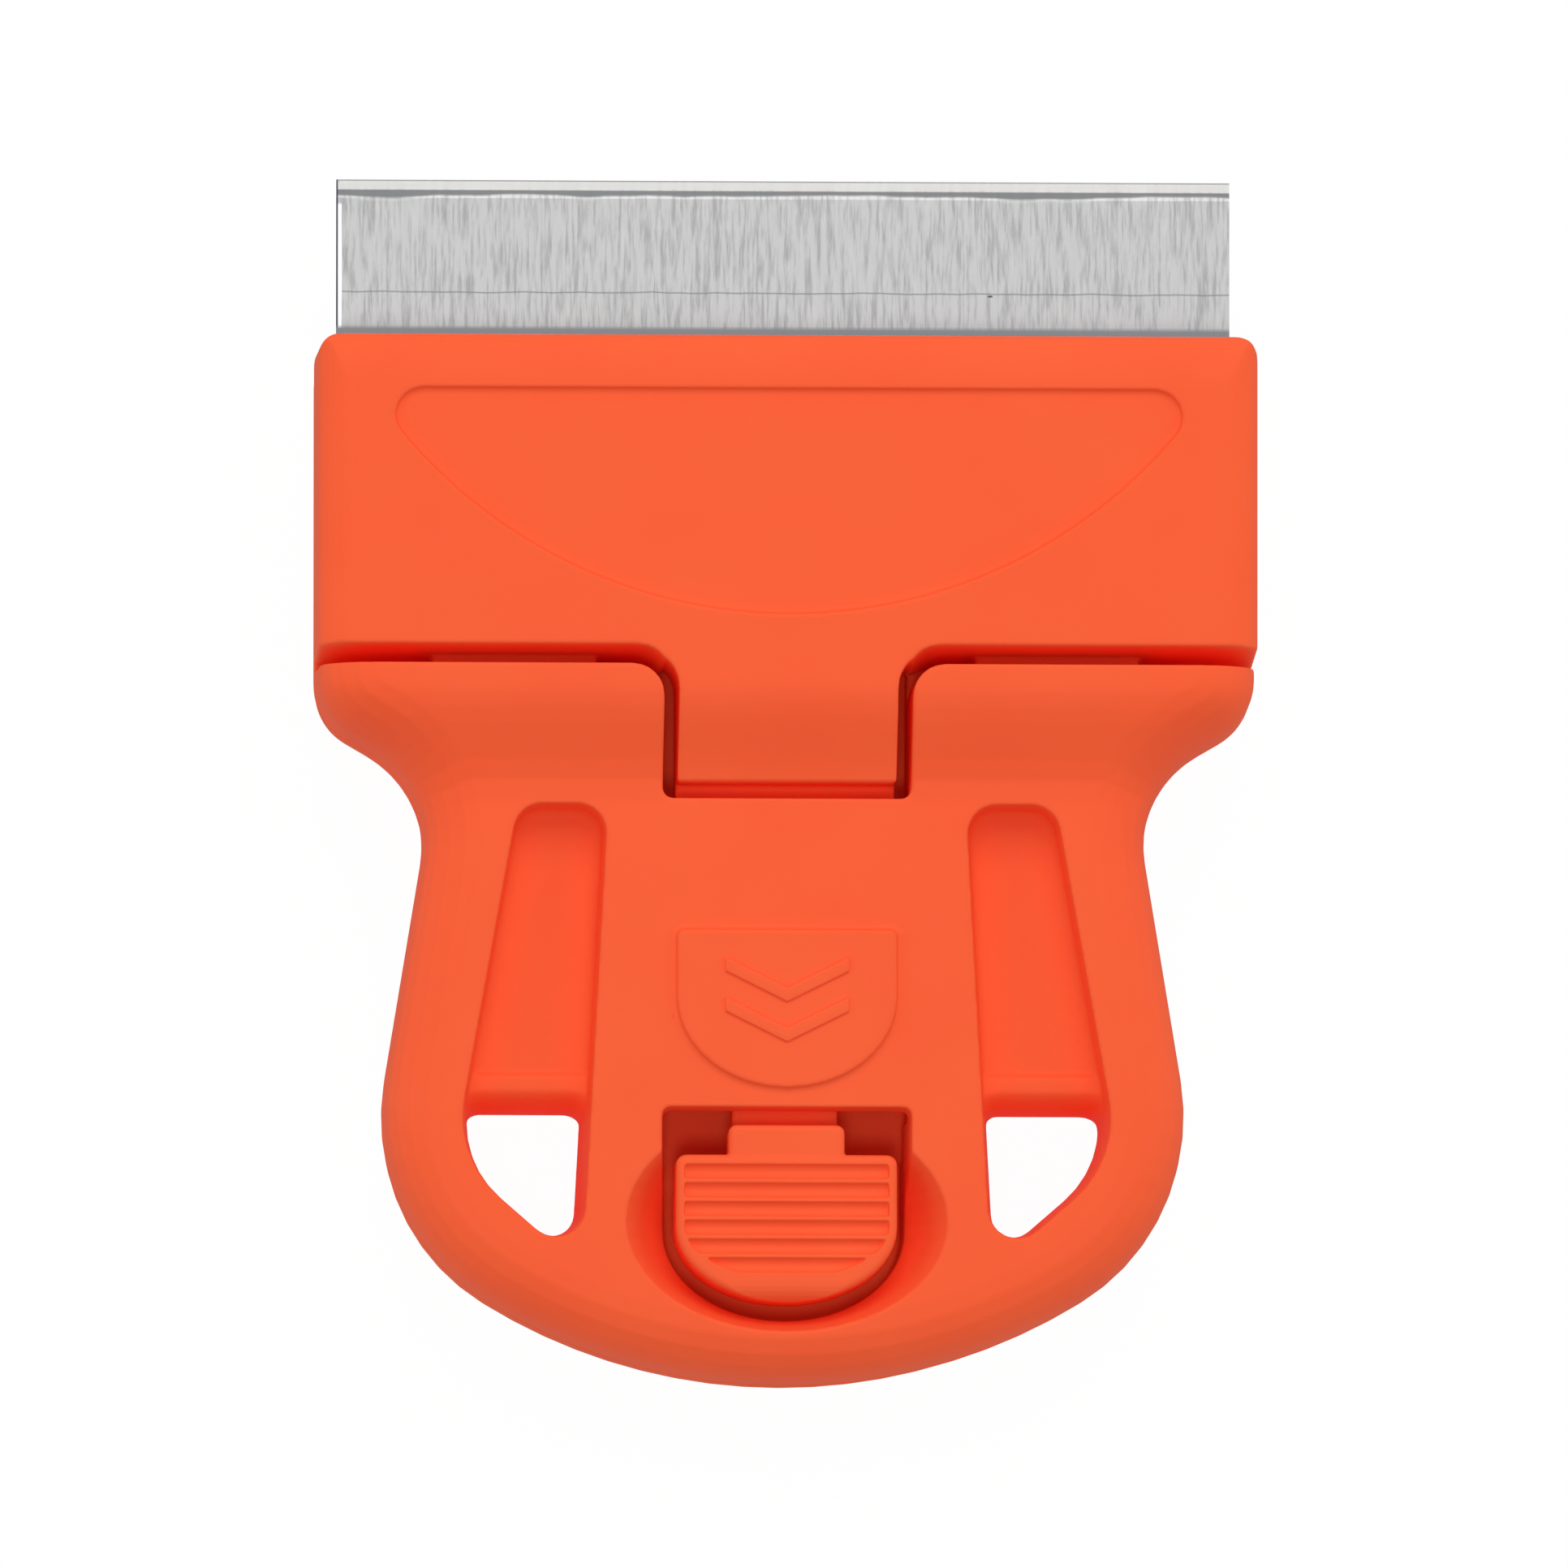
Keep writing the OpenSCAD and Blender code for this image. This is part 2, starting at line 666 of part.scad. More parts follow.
// Shoulder's room in the jaw, seen from the jaw when it stands open
module shoulder_sweep() {
  translate([0, pin_y, part_z])
    rotate([-open_deg, 0, 0])
      translate([0, -pin_y, -2 * over])
        linear_extrude(big)
          polygon(concat(
            [[big, -big], [big, shoulder_y + sweep_gap]],
            plan(corner([big, shoulder_y + sweep_gap], [slot_x - sweep_gap, shoulder_y + sweep_gap, inner_r],
              [slot_x - sweep_gap, -big], 6)),
            [[slot_x - sweep_gap, -big]]
          ));
}

module jaw_plan() {
  polygon(rounded([
    [-head_x, jaw_low_y - jaw_back, jaw_back_r],
    [-head_x, jaw_top_y, jaw_corner_r],
    [head_x, jaw_top_y, jaw_corner_r],
    [head_x, jaw_low_y - jaw_back, jaw_back_r]
  ]));
}

// Tongue with its fillets, seen from the front
module tongue_plan() {
  arc = corner([tongue_x, 0], [tongue_x, jaw_low_y, tongue_fillet], [big, jaw_low_y], 6);
  y = jaw_low_y + over;
  polygon(concat(
    [[-tongue_x, tongue_end_y], [tongue_x, tongue_end_y]],
    plan(arc),
    [[arc[6].x, y], [-arc[6].x, y]],
    [for (k = [6:-1:0]) [-arc[k].x, arc[k].y]]
  ));
}

// Curved recess in the jaw's face
module recess_shape() {
  half = head_x - recess_side;
  deep = jaw_fall_y - jaw_low_y - recess_low;
  big_r = (half * half + deep * deep) / (2 * deep);
  cy = jaw_fall_y - deep + big_r;
  r = recess_corner_r;
  ey = jaw_fall_y - r;
  ex = sqrt(pow(big_r - r, 2) - pow(cy - ey, 2));
  a = atan2(ey - cy, ex);
  polygon(concat(
    [for (k = [0:6]) let (t = 90 + (a - 90) * k / 6) [ex + r * cos(t), ey + r * sin(t)]],
    [for (k = [1:31]) let (t = a + (-180 - 2 * a) * k / 32) [big_r * cos(t), cy + big_r * sin(t)]],
    [for (k = [6:-1:0]) let (t = 90 + (a - 90) * k / 6) [-ex - r * cos(t), ey + r * sin(t)]]
  ));
}

module jaw_skin_body() {
  // the face's curve runs into the edge's rounding at this angle
  turn = asin((jaw_fall_l - jaw_edge_r) / (jaw_fall_r - jaw_edge_r));
  fall_z = head_z - jaw_fall_r;
  edge_z = fall_z + (jaw_fall_r - jaw_edge_r) * cos(turn);
  difference() {
    intersection() {
      translate([0, 0, part_z])
        linear_extrude(head_z)
          jaw_plan();
      along_x(-head_x, head_x)
        polygon(concat(
          [[jaw_low_y - over, jaw_under_z], [jaw_low_y - over, head_z]],
          [for (k = [0:5])
            let (t = turn * k / 6)
            [jaw_fall_y + jaw_fall_r * sin(t), fall_z + jaw_fall_r * cos(t)]],
          [for (k = [0:7])
            let (t = turn + (90 - turn) * k / 7)
            [jaw_top_y - jaw_edge_r * (1 - sin(t)), edge_z + jaw_edge_r * cos(t)]],
          [[jaw_top_y, jaw_under_z]]
        ));
      translate([0, big / 2, 0])
        rotate([90, 0, 0])
          linear_extrude(big)
            polygon(rounded([
              [-head_x, part_z, jaw_under_r],
              [-head_x, head_z, jaw_r],
              [head_x, head_z, jaw_r],
              [head_x, part_z, jaw_under_r]
            ]));
    }
    both_sides()
      shoulder_sweep();
    block(-slot_x, slot_x, 0, jaw_low_y, 0, big);
    translate([0, 0, head_z - recess_d])
      linear_extrude(1)
        recess_shape();
    // hollow over the blade's spine
    difference() {
      block(-head_x + cell_wall, head_x - cell_wall, spine_back_y - spine_gap, jaw_top_y - lip_l,
        0, head_z - jaw_skin);
      for (x = [-head_x / 2, 0, head_x / 2])
        block(x - jaw_rib_t / 2, x + jaw_rib_t / 2, 0, big, part_z + blade_t + spine_t + spine_gap, big);
    }
  }
}

module clamp_jaw() {
  color([0.97, 0.4, 0.23])
    difference() {
      union() {
        jaw_skin_body();
        intersection() {
          translate([0, 0, part_z])
            linear_extrude(head_z)
              tongue_plan();
          along_x(-head_x, head_x)
            polygon(concat(
              [[tongue_end_y, arm_low_z]],
              [for (k = [0:14])
                let (y = mix(tongue_end_y, sweep_high_y, k / 14)) [y, front_z(y)]],
              [[spine_back_y - spine_gap, head_z], [spine_back_y - spine_gap, arm_low_z]]
            ));
          difference() {
            block(-big, big, -over, big, 0, big);
            both_sides()
              shoulder_sweep();
          }
        }
        both_sides()
          along_x(lug_in_x, lug_out_x)
            lug_profile();
        // arm under the bridge
        translate([0, 0, arm_low_z])
          linear_extrude(arm_t)
            polygon([
              [-tongue_x, tongue_end_y + over], [tongue_x, tongue_end_y + over],
              [tongue_x, bridge_low_y + arm_taper[0]], [neck_x, bridge_low_y + arm_taper[1]],
              [neck_x, button_mid_y], [-neck_x, button_mid_y],
              [-neck_x, bridge_low_y + arm_taper[1]], [-tongue_x, bridge_low_y + arm_taper[0]]
            ]);
        translate([0, spring_y, arm_low_z - arm_stud_h])
          cylinder(r = spring_r - wire_d - spring_play, h = arm_stud_h + arm_t / 2, $fn = 32);
      }
      both_sides()
        rod(lug_in_x - over, lug_out_x + over, pin_y, part_z, pin_r + pin_play);
    }
}

// Side view of a lug with its root in the jaw's lower wall
module lug_profile() {
  translate([pin_y, part_z])
    circle(r = lug_r, $fn = 48);
  polygon([
    [pin_y, part_z + lug_r], [pin_y, part_z], [pin_y + lug_r, part_z + lug_heel],
    [spine_back_y - spine_gap, lug_root[0]], [spine_back_y - spine_gap, lug_root[1]],
    [shoulder_y + spine_gap, lug_root[1]]
  ]);
}

module press_button() {
  low_y = button_mid_y - button_round;
  root_y = button_top_y - collar_root;
  end_y = button_top_y + collar_l;
  color([0.95, 0.36, 0.2])
    difference() {
      union() {
        intersection() {
          drafted(
            shield_line(button_x, button_top_y, button_straight, button_round, button_corner_r),
            edge_levels(button_low_z, grip_z, button_r)
          );
          along_x(-big / 2, big / 2)
            polygon(concat(
              [[0, 0], [0, grip_z + over], [low_y + button_lip_r, grip_z + over]],
              [for (k = [0:6])
                [low_y + button_lip_r * (1 - sin(k * 15)) - eps, grip_z - button_lip_r * (1 - cos(k * 15))]],
              [[low_y - eps, 0]]
            ));
        }
        drafted(
          rounded_line([
            [-collar_x, root_y, collar_r],
            [-collar_x, end_y, collar_r],
            [collar_x, end_y, collar_r],
            [collar_x, root_y, collar_r]
          ], 4),
          edge_levels(arm_top_z, grip_z - collar_drop, collar_edge_r)
        );
      }
      // seat on the arm's end
      block(-neck_x - play, neck_x + play, button_mid_y - play, 0, 0, arm_top_z);
      // grooves across the face
      intersection() {
        translate([0, 0, button_low_z])
          linear_extrude(big)
            shield(button_x - border_w, button_top_y - border_w, button_straight - border_w,
              button_round - button_lip_w, field_r);
        along_x(-button_x, button_x)
          for (k = [0:groove_n - 1])
            translate([button_top_y - groove_top - k * groove_pitch, grip_z + groove_lift])
              circle(r = groove_r, $fn = 32);
      }
    }
}

module hinge_pin() {
  color([0.7, 0.71, 0.73])
    both_sides()
      rod(pin_in_x, pin_out_x, pin_y, part_z, pin_r);
}

// Coil of round wire between the seat and the arm, with flattened ends
module return_spring() {
  steps = round(spring_turns * 18);
  sides = 8;
  low = seat_z + wire_d / 2;
  rise = arm_low_z - seat_z - wire_d;
  mid_r = spring_r - wire_d / 2;
  color([0.72, 0.73, 0.75])
    translate([0, spring_y, 0])
      polyhedron(
        points = [for (i = [0:steps], j = [0:sides - 1])
          let (
            t = i / steps,
            a = i * 20,
            b = j * 360 / sides,
            r = mid_r + wire_d / 2 * cos(b)
          )
          [r * cos(a), r * sin(a), low + rise * smooth(t * 1.1 - 0.05) + wire_d / 2 * sin(b)]],
        faces = concat(
          [[for (j = [0:sides - 1]) j]],
          [for (i = [0:steps - 1], j = [0:sides - 1])
            [i * sides + j, (i + 1) * sides + j, (i + 1) * sides + (j + 1) % sides]],
          [for (i = [0:steps - 1], j = [0:sides - 1])
            [i * sides + j, (i + 1) * sides + (j + 1) % sides, i * sides + (j + 1) % sides]],
          [[for (j = [sides - 1:-1:0]) steps * sides + j]]
        )
      );
}

module razor_blade() {
  mid = part_z + blade_t / 2;
  color([0.78, 0.79, 0.8])
    difference() {
      along_x(-blade_w / 2, blade_w / 2)
        polygon([
          [blade_back_y, part_z],
          [edge_y - grind_l, part_z],
          [edge_y - hone_l, mid - hone_t / 2],
          [edge_y, mid - edge_t / 2],
          [edge_y, mid + edge_t / 2],
          [edge_y - hone_l, mid + hone_t / 2],
          [edge_y - grind_l, part_z + blade_t],
          [blade_back_y, part_z + blade_t]
        ]);
      both_sides() {
        translate([notch_x, notch_y, 0])
          cylinder(r = notch_r, h = head_z, $fn = 32);
        block(notch_x, head_x, notch_y - notch_r, notch_y + notch_r, 0, head_z);
      }
    }
}

module blade_spine() {
  half = blade_w / 2 - spine_in;
  color([0.6, 0.61, 0.63])
    difference() {
      along_x(-half, half)
        polygon(rounded([
          [spine_back_y, part_z - spine_t, fold_r],
          [spine_back_y, part_z + blade_t + spine_t, fold_r],
          [spine_front_y, part_z + blade_t + spine_t, spine_edge_r],
          [spine_front_y, part_z - spine_t, spine_edge_r]
        ]));
      block(-head_x, head_x, blade_back_y, edge_y, part_z, part_z + blade_t);
    }
}

rear_shell();
front_shell();
clamp_jaw();
press_button();
hinge_pin();
return_spring();
razor_blade();
blade_spine();
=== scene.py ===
import math

import bmesh
import bpy
from mathutils import Matrix, Vector


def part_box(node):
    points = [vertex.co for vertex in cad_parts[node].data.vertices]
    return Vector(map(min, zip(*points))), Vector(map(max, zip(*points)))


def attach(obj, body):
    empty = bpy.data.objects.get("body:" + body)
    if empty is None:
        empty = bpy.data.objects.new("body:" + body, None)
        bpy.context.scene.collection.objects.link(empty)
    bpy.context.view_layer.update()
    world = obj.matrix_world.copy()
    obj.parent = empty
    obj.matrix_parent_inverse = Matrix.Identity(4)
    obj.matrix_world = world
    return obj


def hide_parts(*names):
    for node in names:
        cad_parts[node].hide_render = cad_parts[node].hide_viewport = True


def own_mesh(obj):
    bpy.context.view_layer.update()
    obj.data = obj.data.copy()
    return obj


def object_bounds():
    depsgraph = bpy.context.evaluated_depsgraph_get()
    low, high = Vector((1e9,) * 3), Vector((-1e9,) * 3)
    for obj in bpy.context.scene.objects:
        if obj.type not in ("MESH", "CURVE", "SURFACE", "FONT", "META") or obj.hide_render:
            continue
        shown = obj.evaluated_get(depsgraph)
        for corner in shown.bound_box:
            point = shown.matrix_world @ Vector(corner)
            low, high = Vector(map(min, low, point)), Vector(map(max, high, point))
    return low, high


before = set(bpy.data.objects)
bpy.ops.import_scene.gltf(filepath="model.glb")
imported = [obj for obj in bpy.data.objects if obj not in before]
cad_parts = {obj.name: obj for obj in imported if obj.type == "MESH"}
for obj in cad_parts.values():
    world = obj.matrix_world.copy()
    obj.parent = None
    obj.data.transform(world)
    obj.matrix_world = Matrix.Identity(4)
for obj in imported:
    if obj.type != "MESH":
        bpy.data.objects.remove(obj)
cad_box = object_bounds()

MM = 0.001
scene = bpy.context.scene
scene.view_settings.view_transform = "Standard"


def srgb(red, green, blue):
    """A colour given as 0 to 255 screen values, as linear RGBA."""
    def linear(value):
        share = value / 255
        return share / 12.92 if share <= 0.04045 else ((share + 0.055) / 1.055) ** 2.4
    return (linear(red), linear(green), linear(blue), 1)


# Camera: the photograph looks down on the front, from slightly left of and below the middle
PHOTO_PX = 1932
BLADE_WIDTH_PX = 1101
CAMERA_DISTANCE = 3.0
CAMERA_YAW = math.radians(-2.6)
CAMERA_PITCH = math.radians(4.5)
CAMERA_ROLL = math.radians(0.03)
FACE_Z = 10 * MM
TARGET_SHIFT = (-0.135 * MM, 0.018 * MM)
SENSOR = 36.0


def span(node, axis):
    """Size of a CAD node along an axis."""
    low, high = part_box(node)
    return high[axis] - low[axis]


def make_camera():
    blade_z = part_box("razor_blade")[1][2]
    far = CAMERA_DISTANCE + FACE_Z - blade_z
    field = PHOTO_PX * span("razor_blade", 0) * math.cos(CAMERA_YAW) / BLADE_WIDTH_PX
    yaw, pitch = CAMERA_YAW, CAMERA_PITCH
    back = Vector((math.sin(yaw) * math.cos(pitch), -math.sin(pitch), math.cos(yaw) * math.cos(pitch)))
    right = Vector((math.cos(yaw), 0, -math.sin(yaw)))
    up = back.cross(right)
    data = bpy.data.cameras.new("camera")
    data.sensor_width = SENSOR
    data.lens = SENSOR * far / field
    data.clip_start = 0.01
    camera = bpy.data.objects.new("camera", data)
    target = Vector((0, 0, FACE_Z)) + right * TARGET_SHIFT[0] + up * TARGET_SHIFT[1]
    camera.location = target + back * CAMERA_DISTANCE
    turn = Matrix((right, up, back)).transposed() @ Matrix.Rotation(CAMERA_ROLL, 3, "Z")
    camera.rotation_euler = turn.to_euler()
    scene.collection.objects.link(camera)
    scene.camera = camera


# Node trees
def new_material(name):
    material = bpy.data.materials.new(name)
    material.use_nodes = True
    tree = material.node_tree
    tree.nodes.clear()
    return material, tree


def feed(tree, socket, value):
    """Links another node's output to a socket, or sets the socket to a constant."""
    if isinstance(value, bpy.types.NodeSocket):
        tree.links.new(value, socket)
    else:
        socket.default_value = value


def add(tree, kind, sockets=None, **values):
    """A node with its properties set and its input sockets fed by name."""
    node = tree.nodes.new(kind)
    for key, value in values.items():
        setattr(node, key, value)
    for key, value in (sockets or {}).items():
        feed(tree, node.inputs[key], value)
    return node


def noise(tree, place, scale, detail=2.0, roughness=0.5):
    sockets = {"Vector": place, "Scale": scale, "Detail": detail, "Roughness": roughness}
    return add(tree, "ShaderNodeTexNoise", sockets=sockets).outputs["Fac"]


def ramp(tree, value, low, high, to_low, to_high):
    """A value mapped from one range to another, and held at its ends."""
    sockets = {"Value": value, "From Min": low, "From Max": high, "To Min": to_low, "To Max": to_high}
    return add(tree, "ShaderNodeMapRange", sockets=sockets).outputs["Result"]


# The mix node's sockets for its factor and colours, since each data type has sockets of the same name
COLOUR_INPUTS = (0, 6, 7)
COLOUR_OUTPUT = 2


def mix(tree, share, first, second):
    """The first colour blended with a share of the second."""
    node = add(tree, "ShaderNodeMix", data_type="RGBA", clamp_factor=True)
    for index, value in zip(COLOUR_INPUTS, (share, first, second)):
        feed(tree, node.inputs[index], value)
    return node.outputs[COLOUR_OUTPUT]


def math_node(tree, operation, first, second):
    node = add(tree, "ShaderNodeMath", operation=operation)
    for socket, value in zip(node.inputs, (first, second)):
        feed(tree, socket, value)
    return node.outputs[0]


def output(tree, surface):
    add(tree, "ShaderNodeOutputMaterial", sockets={"Surface": surface})


def place_in(tree, stretch=(1, 1, 1)):
    """Object coordinates, stretched per axis."""
    place = add(tree, "ShaderNodeTexCoord").outputs["Object"]
    return add(tree, "ShaderNodeMapping", sockets={"Vector": place, "Scale": stretch}).outputs["Vector"]


# Materials
PLASTIC = (0.985, 0.127, 0.042, 1)
PLASTIC_DEEP = (0.98, 0.119, 0.039, 1)
PLASTIC_ROUGHNESS = (0.45, 0.52)
PLASTIC_SHINE = 0.06
CLOUD_SCALE = 160
GRAIN_SCALE = 7000
GRAIN_DEPTH = 0.02 * MM


def plastic_material(name):
    """Satin moulded plastic: faint flow clouding and a fine eroded grain."""
    material, tree = new_material(name)
    place = place_in(tree)
    clouds = noise(tree, place, CLOUD_SCALE, 3)
    grain = noise(tree, place, GRAIN_SCALE)
    colour = mix(tree, ramp(tree, clouds, 0.35, 0.65, 0, 1), PLASTIC_DEEP, PLASTIC)
    bump = add(tree, "ShaderNodeBump", sockets={"Strength": 0.12, "Distance": GRAIN_DEPTH, "Height": grain})
    shader = add(tree, "ShaderNodeBsdfPrincipled", sockets={
        "Base Color": colour,
        "Roughness": ramp(tree, clouds, 0.3, 0.7, *PLASTIC_ROUGHNESS),
        "Specular IOR Level": PLASTIC_SHINE,
        "Normal": bump.outputs["Normal"],
    })
    output(tree, shader.outputs["BSDF"])
    return material


STEEL_LINES = (300, 9000, 9000)
STEEL_LINE_DEPTH = 0.01 * MM
STEEL_CLOUD_SCALE = 400
STEEL_DARKER = 0.8


def steel_material(name, colour, roughness):
    """Drawn or rolled steel: fine lines along X and a faint clouding."""
    material, tree = new_material(name)
    lines = noise(tree, place_in(tree, STEEL_LINES), 1)
    clouds = noise(tree, place_in(tree), STEEL_CLOUD_SCALE, 3)
    dark = tuple(part * STEEL_DARKER for part in colour[:3]) + (1,)
    sockets = {"Strength": 0.15, "Distance": STEEL_LINE_DEPTH, "Height": lines}
    bump = add(tree, "ShaderNodeBump", sockets=sockets)
    shader = add(tree, "ShaderNodeBsdfPrincipled", sockets={
        "Base Color": mix(tree, ramp(tree, clouds, 0.3, 0.7, 0, 1), dark, colour),
        "Metallic": 1.0,
        "Roughness": ramp(tree, lines, 0.3, 0.7, roughness, roughness + 0.1),
        "Normal": bump.outputs["Normal"],
    })
    output(tree, shader.outputs["BSDF"])
    return material


BLADE_LOW = srgb(166, 166, 166)
BLADE_HIGH = srgb(188, 188, 188)
BLADE_SPOT_AND_GLINT = srgb(199, 199, 198)
HONED_HIGHLIGHT = srgb(184, 183, 181)
BURR_SHADE = srgb(112, 113, 114)
EDGE_SHADE = srgb(118, 118, 120)
GRIND_LINE = srgb(128, 130, 131)
FLECK = srgb(70, 70, 70)
END_HIGHLIGHT = srgb(255, 255, 255)
END_SHADE = srgb(70, 70, 80)
JAW_SHADOW = srgb(134, 138, 142)

# Where the blade's marks, painted highlights and painted shades begin and end, in millimetres: below the
# edge, below the burr's painted shade, along X, in from the left end, and above the jaw
EDGE_SHADE_BELOW = (0.02, 0.07)
HONED_HIGHLIGHT_BELOW = (0.36, 0.44)
BURR_SHADE_BELOW = (0.4, 0.46)
BURR_SHADE_LOW = (0.52, 0.8)
BURR_SHADE_FADE = (-0.04, 0.06)
GLINT_BELOW_BURR_SHADE = (0.08, 0.14)
GRIND_BELOW = (4.88, 4.94)
GRIND_WAVE = 0.06
FLECK_BELOW = (4.97, 5.05)
FLECK_ALONG = (8.95, 9.15)
END_SHADE_IN = (0.05, 0.1)
END_HIGHLIGHT_IN = (0.2, 0.26)
END_HIGHLIGHT_BELOW = (1.0, 1.15)
JAW_SHADOW_ABOVE = (0.64, 0.82)
# Noise stretched along the axes: fine streaks across the edge, longer spots, and waves along X
STREAKS = (7000, 600, 600)
SPOTS = (1500, 500, 500)
BURR_SHADE_WAVES = (140, 1, 1)
GRIND_WAVES = (420, 1, 1)
STREAK_DEPTH = 0.006 * MM
BLADE_ROUGHNESS = (0.22, 0.26)


def between(tree, value, low, high, soft):
    """1 where the value lies between low and high, with soft ends."""
    rise = ramp(tree, value, low - soft, low + soft, 0, 1)
    return math_node(tree, "MULTIPLY", rise, ramp(tree, value, high - soft, high + soft, 1, 0))


def blade_material(name):
    """Ground blade steel: fine streaks across the edge, a grind line, a honed strip painted lighter as a
    highlight, a dark band of painted shade along the burr, and painted highlight and shade at the left end
    and the jaw.
    """
    material, tree = new_material(name)
    low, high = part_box("razor_blade")
    jaw_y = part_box("clamp_jaw")[1][1]
    place = add(tree, "ShaderNodeTexCoord").outputs["Object"]
    axes = add(tree, "ShaderNodeSeparateXYZ", sockets={"Vector": place}).outputs
    streaks = noise(tree, place_in(tree, STREAKS), 1, 3, 0.6)
    spots = noise(tree, place_in(tree, SPOTS), 1, 4)
    wobble = noise(tree, place_in(tree, BURR_SHADE_WAVES), 1, 3)
    ripple = noise(tree, place_in(tree, GRIND_WAVES), 1)
    # Distances below the edge, in from the left end and above the jaw, in millimetres
    below = math_node(tree, "MULTIPLY", math_node(tree, "SUBTRACT", high[1], axes["Y"]), 1 / MM)
    inside = math_node(tree, "MULTIPLY", math_node(tree, "SUBTRACT", axes["X"], low[0]), 1 / MM)
    above = math_node(tree, "MULTIPLY", math_node(tree, "SUBTRACT", axes["Y"], jaw_y), 1 / MM)
    colour = mix(tree, ramp(tree, streaks, 0.34, 0.54, 0, 1), BLADE_LOW, BLADE_HIGH)
    colour = mix(tree, ramp(tree, spots, 0.58, 0.72, 0, 0.4), colour, BLADE_SPOT_AND_GLINT)
    # The grind line, slightly wavy
    ground = math_node(tree, "ADD", below, ramp(tree, ripple, 0.2, 0.8, -GRIND_WAVE, GRIND_WAVE))
    line = between(tree, ground, *GRIND_BELOW, 0.025)
    colour = mix(tree, math_node(tree, "MULTIPLY", line, 0.8), colour, GRIND_LINE)
    along = math_node(tree, "MULTIPLY", axes["X"], 1 / MM)
    fleck_rows = between(tree, below, *FLECK_BELOW, 0.03)
    fleck = math_node(tree, "MULTIPLY", between(tree, along, *FLECK_ALONG, 0.04), fleck_rows)
    colour = mix(tree, fleck, colour, FLECK)
    # The burr, painted as shade: a dark band of varying width under the honed strip
    burr_shade_low = ramp(tree, wobble, 0.3, 0.7, *BURR_SHADE_LOW)
    below_burr_shade = math_node(tree, "SUBTRACT", below, burr_shade_low)
    band_end = ramp(tree, below_burr_shade, *BURR_SHADE_FADE, 1, 0)
    burr_shade_band = math_node(tree, "MULTIPLY", ramp(tree, below, *BURR_SHADE_BELOW, 0, 1), band_end)
    # A painted highlight: a thin glint in places just below the burr's painted shade
    crest_glint = between(tree, below_burr_shade, *GLINT_BELOW_BURR_SHADE, 0.05)
    crest_glint = math_node(tree, "MULTIPLY", crest_glint, ramp(tree, wobble, 0.45, 0.6, 0, 0.8))
    colour = mix(tree, crest_glint, colour, BLADE_SPOT_AND_GLINT)
    colour = mix(tree, burr_shade_band, colour, BURR_SHADE)
    # A painted highlight: the honed strip lighter where its facet catches the light
    colour = mix(tree, ramp(tree, below, *HONED_HIGHLIGHT_BELOW, 1, 0), colour, HONED_HIGHLIGHT)
    # Painted shade: a thin dark line along the edge
    colour = mix(tree, ramp(tree, below, *EDGE_SHADE_BELOW, 1, 0), colour, EDGE_SHADE)
    # The left end's painted highlight with its dark outline of painted shade, and the painted shadow where
    # the jaw meets the blade
    end_highlight_rows = ramp(tree, below, *END_HIGHLIGHT_BELOW, 0, 1)
    end_highlight = math_node(tree, "MULTIPLY", ramp(tree, inside, *END_HIGHLIGHT_IN, 1, 0), end_highlight_rows)
    colour = mix(tree, end_highlight, colour, END_HIGHLIGHT)
    colour = mix(tree, ramp(tree, inside, *END_SHADE_IN, 1, 0), colour, END_SHADE)
    # Painted shadow: the jaw's shade on the blade just above it
    colour = mix(tree, ramp(tree, above, *JAW_SHADOW_ABOVE, 1, 0), colour, JAW_SHADOW)
    bump = add(tree, "ShaderNodeBump", sockets={"Strength": 0.2, "Distance": STREAK_DEPTH, "Height": streaks})
    shader = add(tree, "ShaderNodeBsdfPrincipled", sockets={
        "Base Color": colour,
        "Metallic": 1.0,
        "Roughness": ramp(tree, streaks, 0.3, 0.7, *BLADE_ROUGHNESS),
        "Normal": bump.outputs["Normal"],
    })
    output(tree, shader.outputs["BSDF"])
    return material


# Pieces
def finish_piece(piece, material, node, body):
    piece.data.materials.clear()
    piece.data.materials.append(material)
    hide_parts(node)
    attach(piece, body)


def new_piece(name, mesh):
    piece = bpy.data.objects.new(name, mesh)
    scene.collection.objects.link(piece)
    return piece


def mesh_from(form, name):
    """A mesh made from a bmesh, which is freed."""
    mesh = bpy.data.meshes.new(name)
    form.to_mesh(mesh)
    form.free()
    return mesh


def settle(piece):
    """Applies the piece's modifiers to its mesh."""
    graph = bpy.context.evaluated_depsgraph_get()
    final = bpy.data.meshes.new_from_object(piece.evaluated_get(graph))
    piece.modifiers.clear()
    piece.data = final


WELD = 0.001 * MM


def welded_copy(node, name):
    """A piece with the CAD node's mesh, its split corners joined."""
    form = bmesh.new()
    form.from_mesh(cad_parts[node].data)
    bmesh.ops.remove_doubles(form, verts=form.verts, dist=WELD)
    return new_piece(name, mesh_from(form, name))


SOFTEN_ROUNDS = 8
MOST_TRIANGLES = 150000


def moulded(node, voxel):
    """A moulded copy of a CAD node, whose sharp edges melt into small radii."""
    piece = welded_copy(node, node + "_moulded")
    remesh = piece.modifiers.new("remesh", "REMESH")
    remesh.mode = "VOXEL"
    remesh.voxel_size = voxel * 1
    soften = piece.modifiers.new("soften", "SMOOTH")
    soften.factor = 0.5
    soften.iterations = SOFTEN_ROUNDS
    settle(piece)
    triangles = 2 * len(piece.data.polygons)
    if triangles > MOST_TRIANGLES:
        thin = piece.modifiers.new("thin", "DECIMATE")
        thin.ratio = MOST_TRIANGLES / triangles
        settle(piece)
    piece.data.shade_smooth()
    return piece


